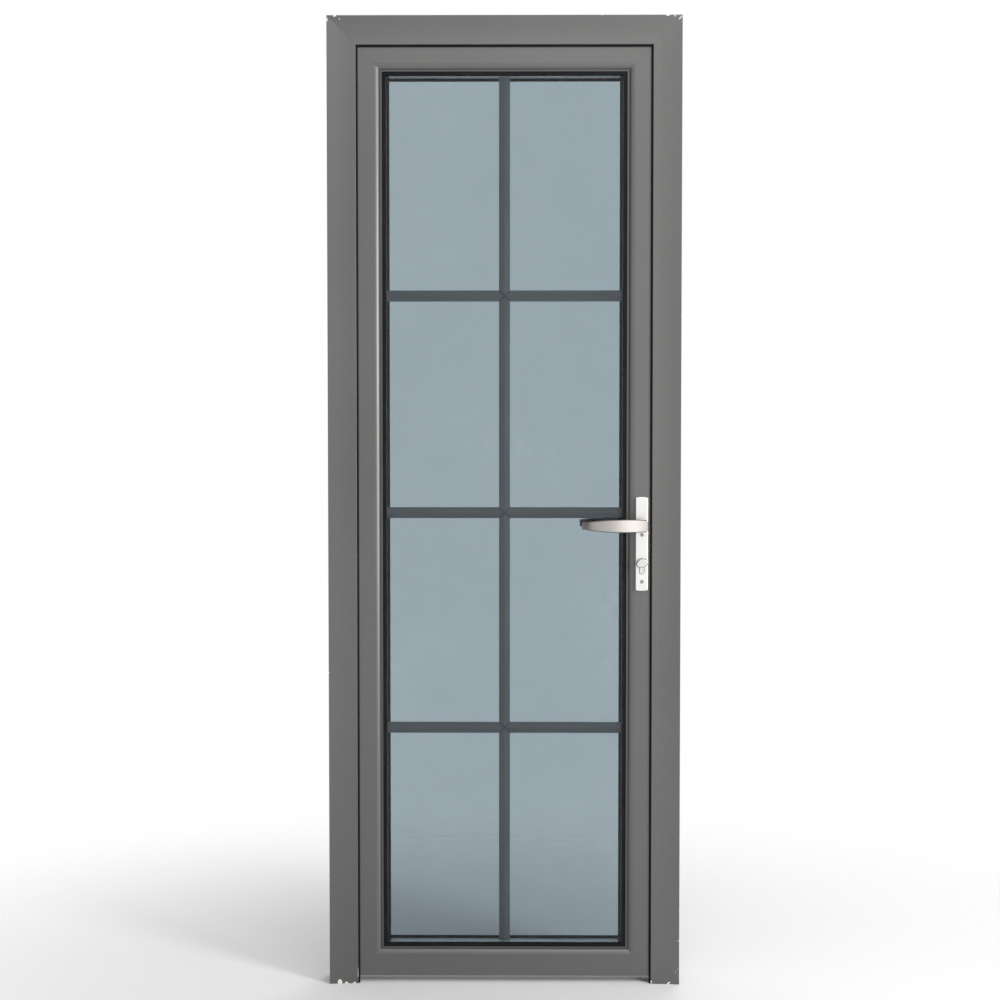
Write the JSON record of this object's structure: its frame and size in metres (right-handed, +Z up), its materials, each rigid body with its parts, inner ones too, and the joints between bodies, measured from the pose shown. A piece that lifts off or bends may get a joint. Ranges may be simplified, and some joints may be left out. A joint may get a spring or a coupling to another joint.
{
  "type": "aluminium swing door",
  "caption": "Grey aluminium swing door in its frame, with double glazing, glazing bars between the panes, barrel hinges, lever handles and a lock.",
  "frame": {"origin": "on the floor under the middle of the leaf's thickness and width", "axes": "+X to the lock side as seen from the shown face, +Y away from the shown face, +Z up"},
  "size_m": [0.764, 0.1816, 2.1],
  "materials": {
    "grey_coat": "metallic powder coat, satin, fine grain",
    "bar_coat": "satin coat",
    "hinge_coat": "satin powder coat",
    "glass": "clear with a faint blue grey cast",
    "black_rubber": "matt",
    "spacer_grey": "matt",
    "satin_nickel": "satin",
    "mill_aluminium": "mill finish",
    "lock_steel": "zinc plated",
    "cylinder_nickel": "satin nickel plate",
    "screw_steel": "zinc plated",
    "plain_plastic": "moulded"
  },
  "bodies": {
    "frame": {"hinge_jamb": "grey_coat", "lock_jamb": "grey_coat", "frame_head": "grey_coat", "frame_corner_cleats": "mill_aluminium", "stop_gasket_hinge_side": "black_rubber", "stop_gasket_lock_side": "black_rubber", "stop_gasket_head": "black_rubber", "strike_plate": "lock_steel", "strike_screws": "screw_steel", "hinge_frame_wing_lower": "hinge_coat", "hinge_frame_wing_middle": "hinge_coat", "hinge_frame_wing_upper": "hinge_coat", "hinge_pins": "screw_steel", "hinge_washers": "plain_plastic", "hinge_frame_screws": "screw_steel"},
    "leaf": {"hinge_stile": "grey_coat", "lock_stile": "grey_coat", "top_rail": "grey_coat", "bottom_rail": "grey_coat", "leaf_corner_cleats": "mill_aluminium", "front_glass": "glass", "rear_glass": "glass", "spacer_frame": "spacer_grey", "edge_seal": "black_rubber", "glazing_bar_upright": "bar_coat", "glazing_bar_lower_left": "bar_coat", "glazing_bar_lower_right": "bar_coat", "glazing_bar_middle_left": "bar_coat", "glazing_bar_middle_right": "bar_coat", "glazing_bar_upper_left": "bar_coat", "glazing_bar_upper_right": "bar_coat", "glazing_bead_left": "grey_coat", "glazing_bead_top": "grey_coat", "glazing_bead_right": "grey_coat", "glazing_bead_bottom": "grey_coat", "front_glazing_gasket": "black_rubber", "rear_glazing_gasket": "black_rubber", "setting_blocks": "plain_plastic", "hinge_leaf_wing_lower": "hinge_coat", "hinge_leaf_wing_middle": "hinge_coat", "hinge_leaf_wing_upper": "hinge_coat", "hinge_leaf_screws": "screw_steel", "lock_case": "lock_steel", "lock_faceplate": "lock_steel", "faceplate_screws": "screw_steel", "cylinder_body": "cylinder_nickel", "key_plug": "cylinder_nickel", "cylinder_screw": "screw_steel", "front_handle_plate": "satin_nickel", "rear_handle_plate": "satin_nickel", "handle_screws": "screw_steel"},
    "lever_set": {"front_lever": "satin_nickel", "rear_lever": "satin_nickel", "spindle": "lock_steel", "lock_follower": "lock_steel"},
    "latch": {"latch_bolt": "lock_steel"},
    "bolt": {"deadbolt": "lock_steel"},
    "turn_set": {"thumb_turn": "satin_nickel", "cylinder_cam": "lock_steel"}
  },
  "joints": [
    {"name": "door_swing", "type": "hinge", "parent": "frame", "child": "leaf", "pos_m": [-0.331, 0.04, 1.0305], "axis": [0, 0, 1], "range_deg": [0, 110]},
    {"name": "lever_turn", "type": "hinge", "parent": "leaf", "child": "lever_set", "pos_m": [0.298, 0, 1.005], "axis": [0, -1, 0], "range_deg": [0, 40], "stiffness_Nm_per_rad": 1, "springref_deg": -34.38},
    {"name": "latch_slide", "type": "slide", "parent": "leaf", "child": "latch", "axis": [-1, 0, 0], "range_m": [0, 0.012]},
    {"name": "thumb_turn_spin", "type": "hinge", "parent": "leaf", "child": "turn_set", "pos_m": [0.298, 0, 0.9235], "axis": [0, 1, 0], "range_deg": [0, 360]},
    {"name": "deadbolt_slide", "type": "slide", "parent": "leaf", "child": "bolt", "axis": [1, 0, 0], "range_m": [0, 0.018]}
  ],
  "couplings": [
    {"joint": "latch_slide", "follows": "lever_turn", "m_per_rad": 0.01718},
    {"joint": "deadbolt_slide", "follows": "thumb_turn_spin", "m_per_rad": 0.00286}
  ]
}
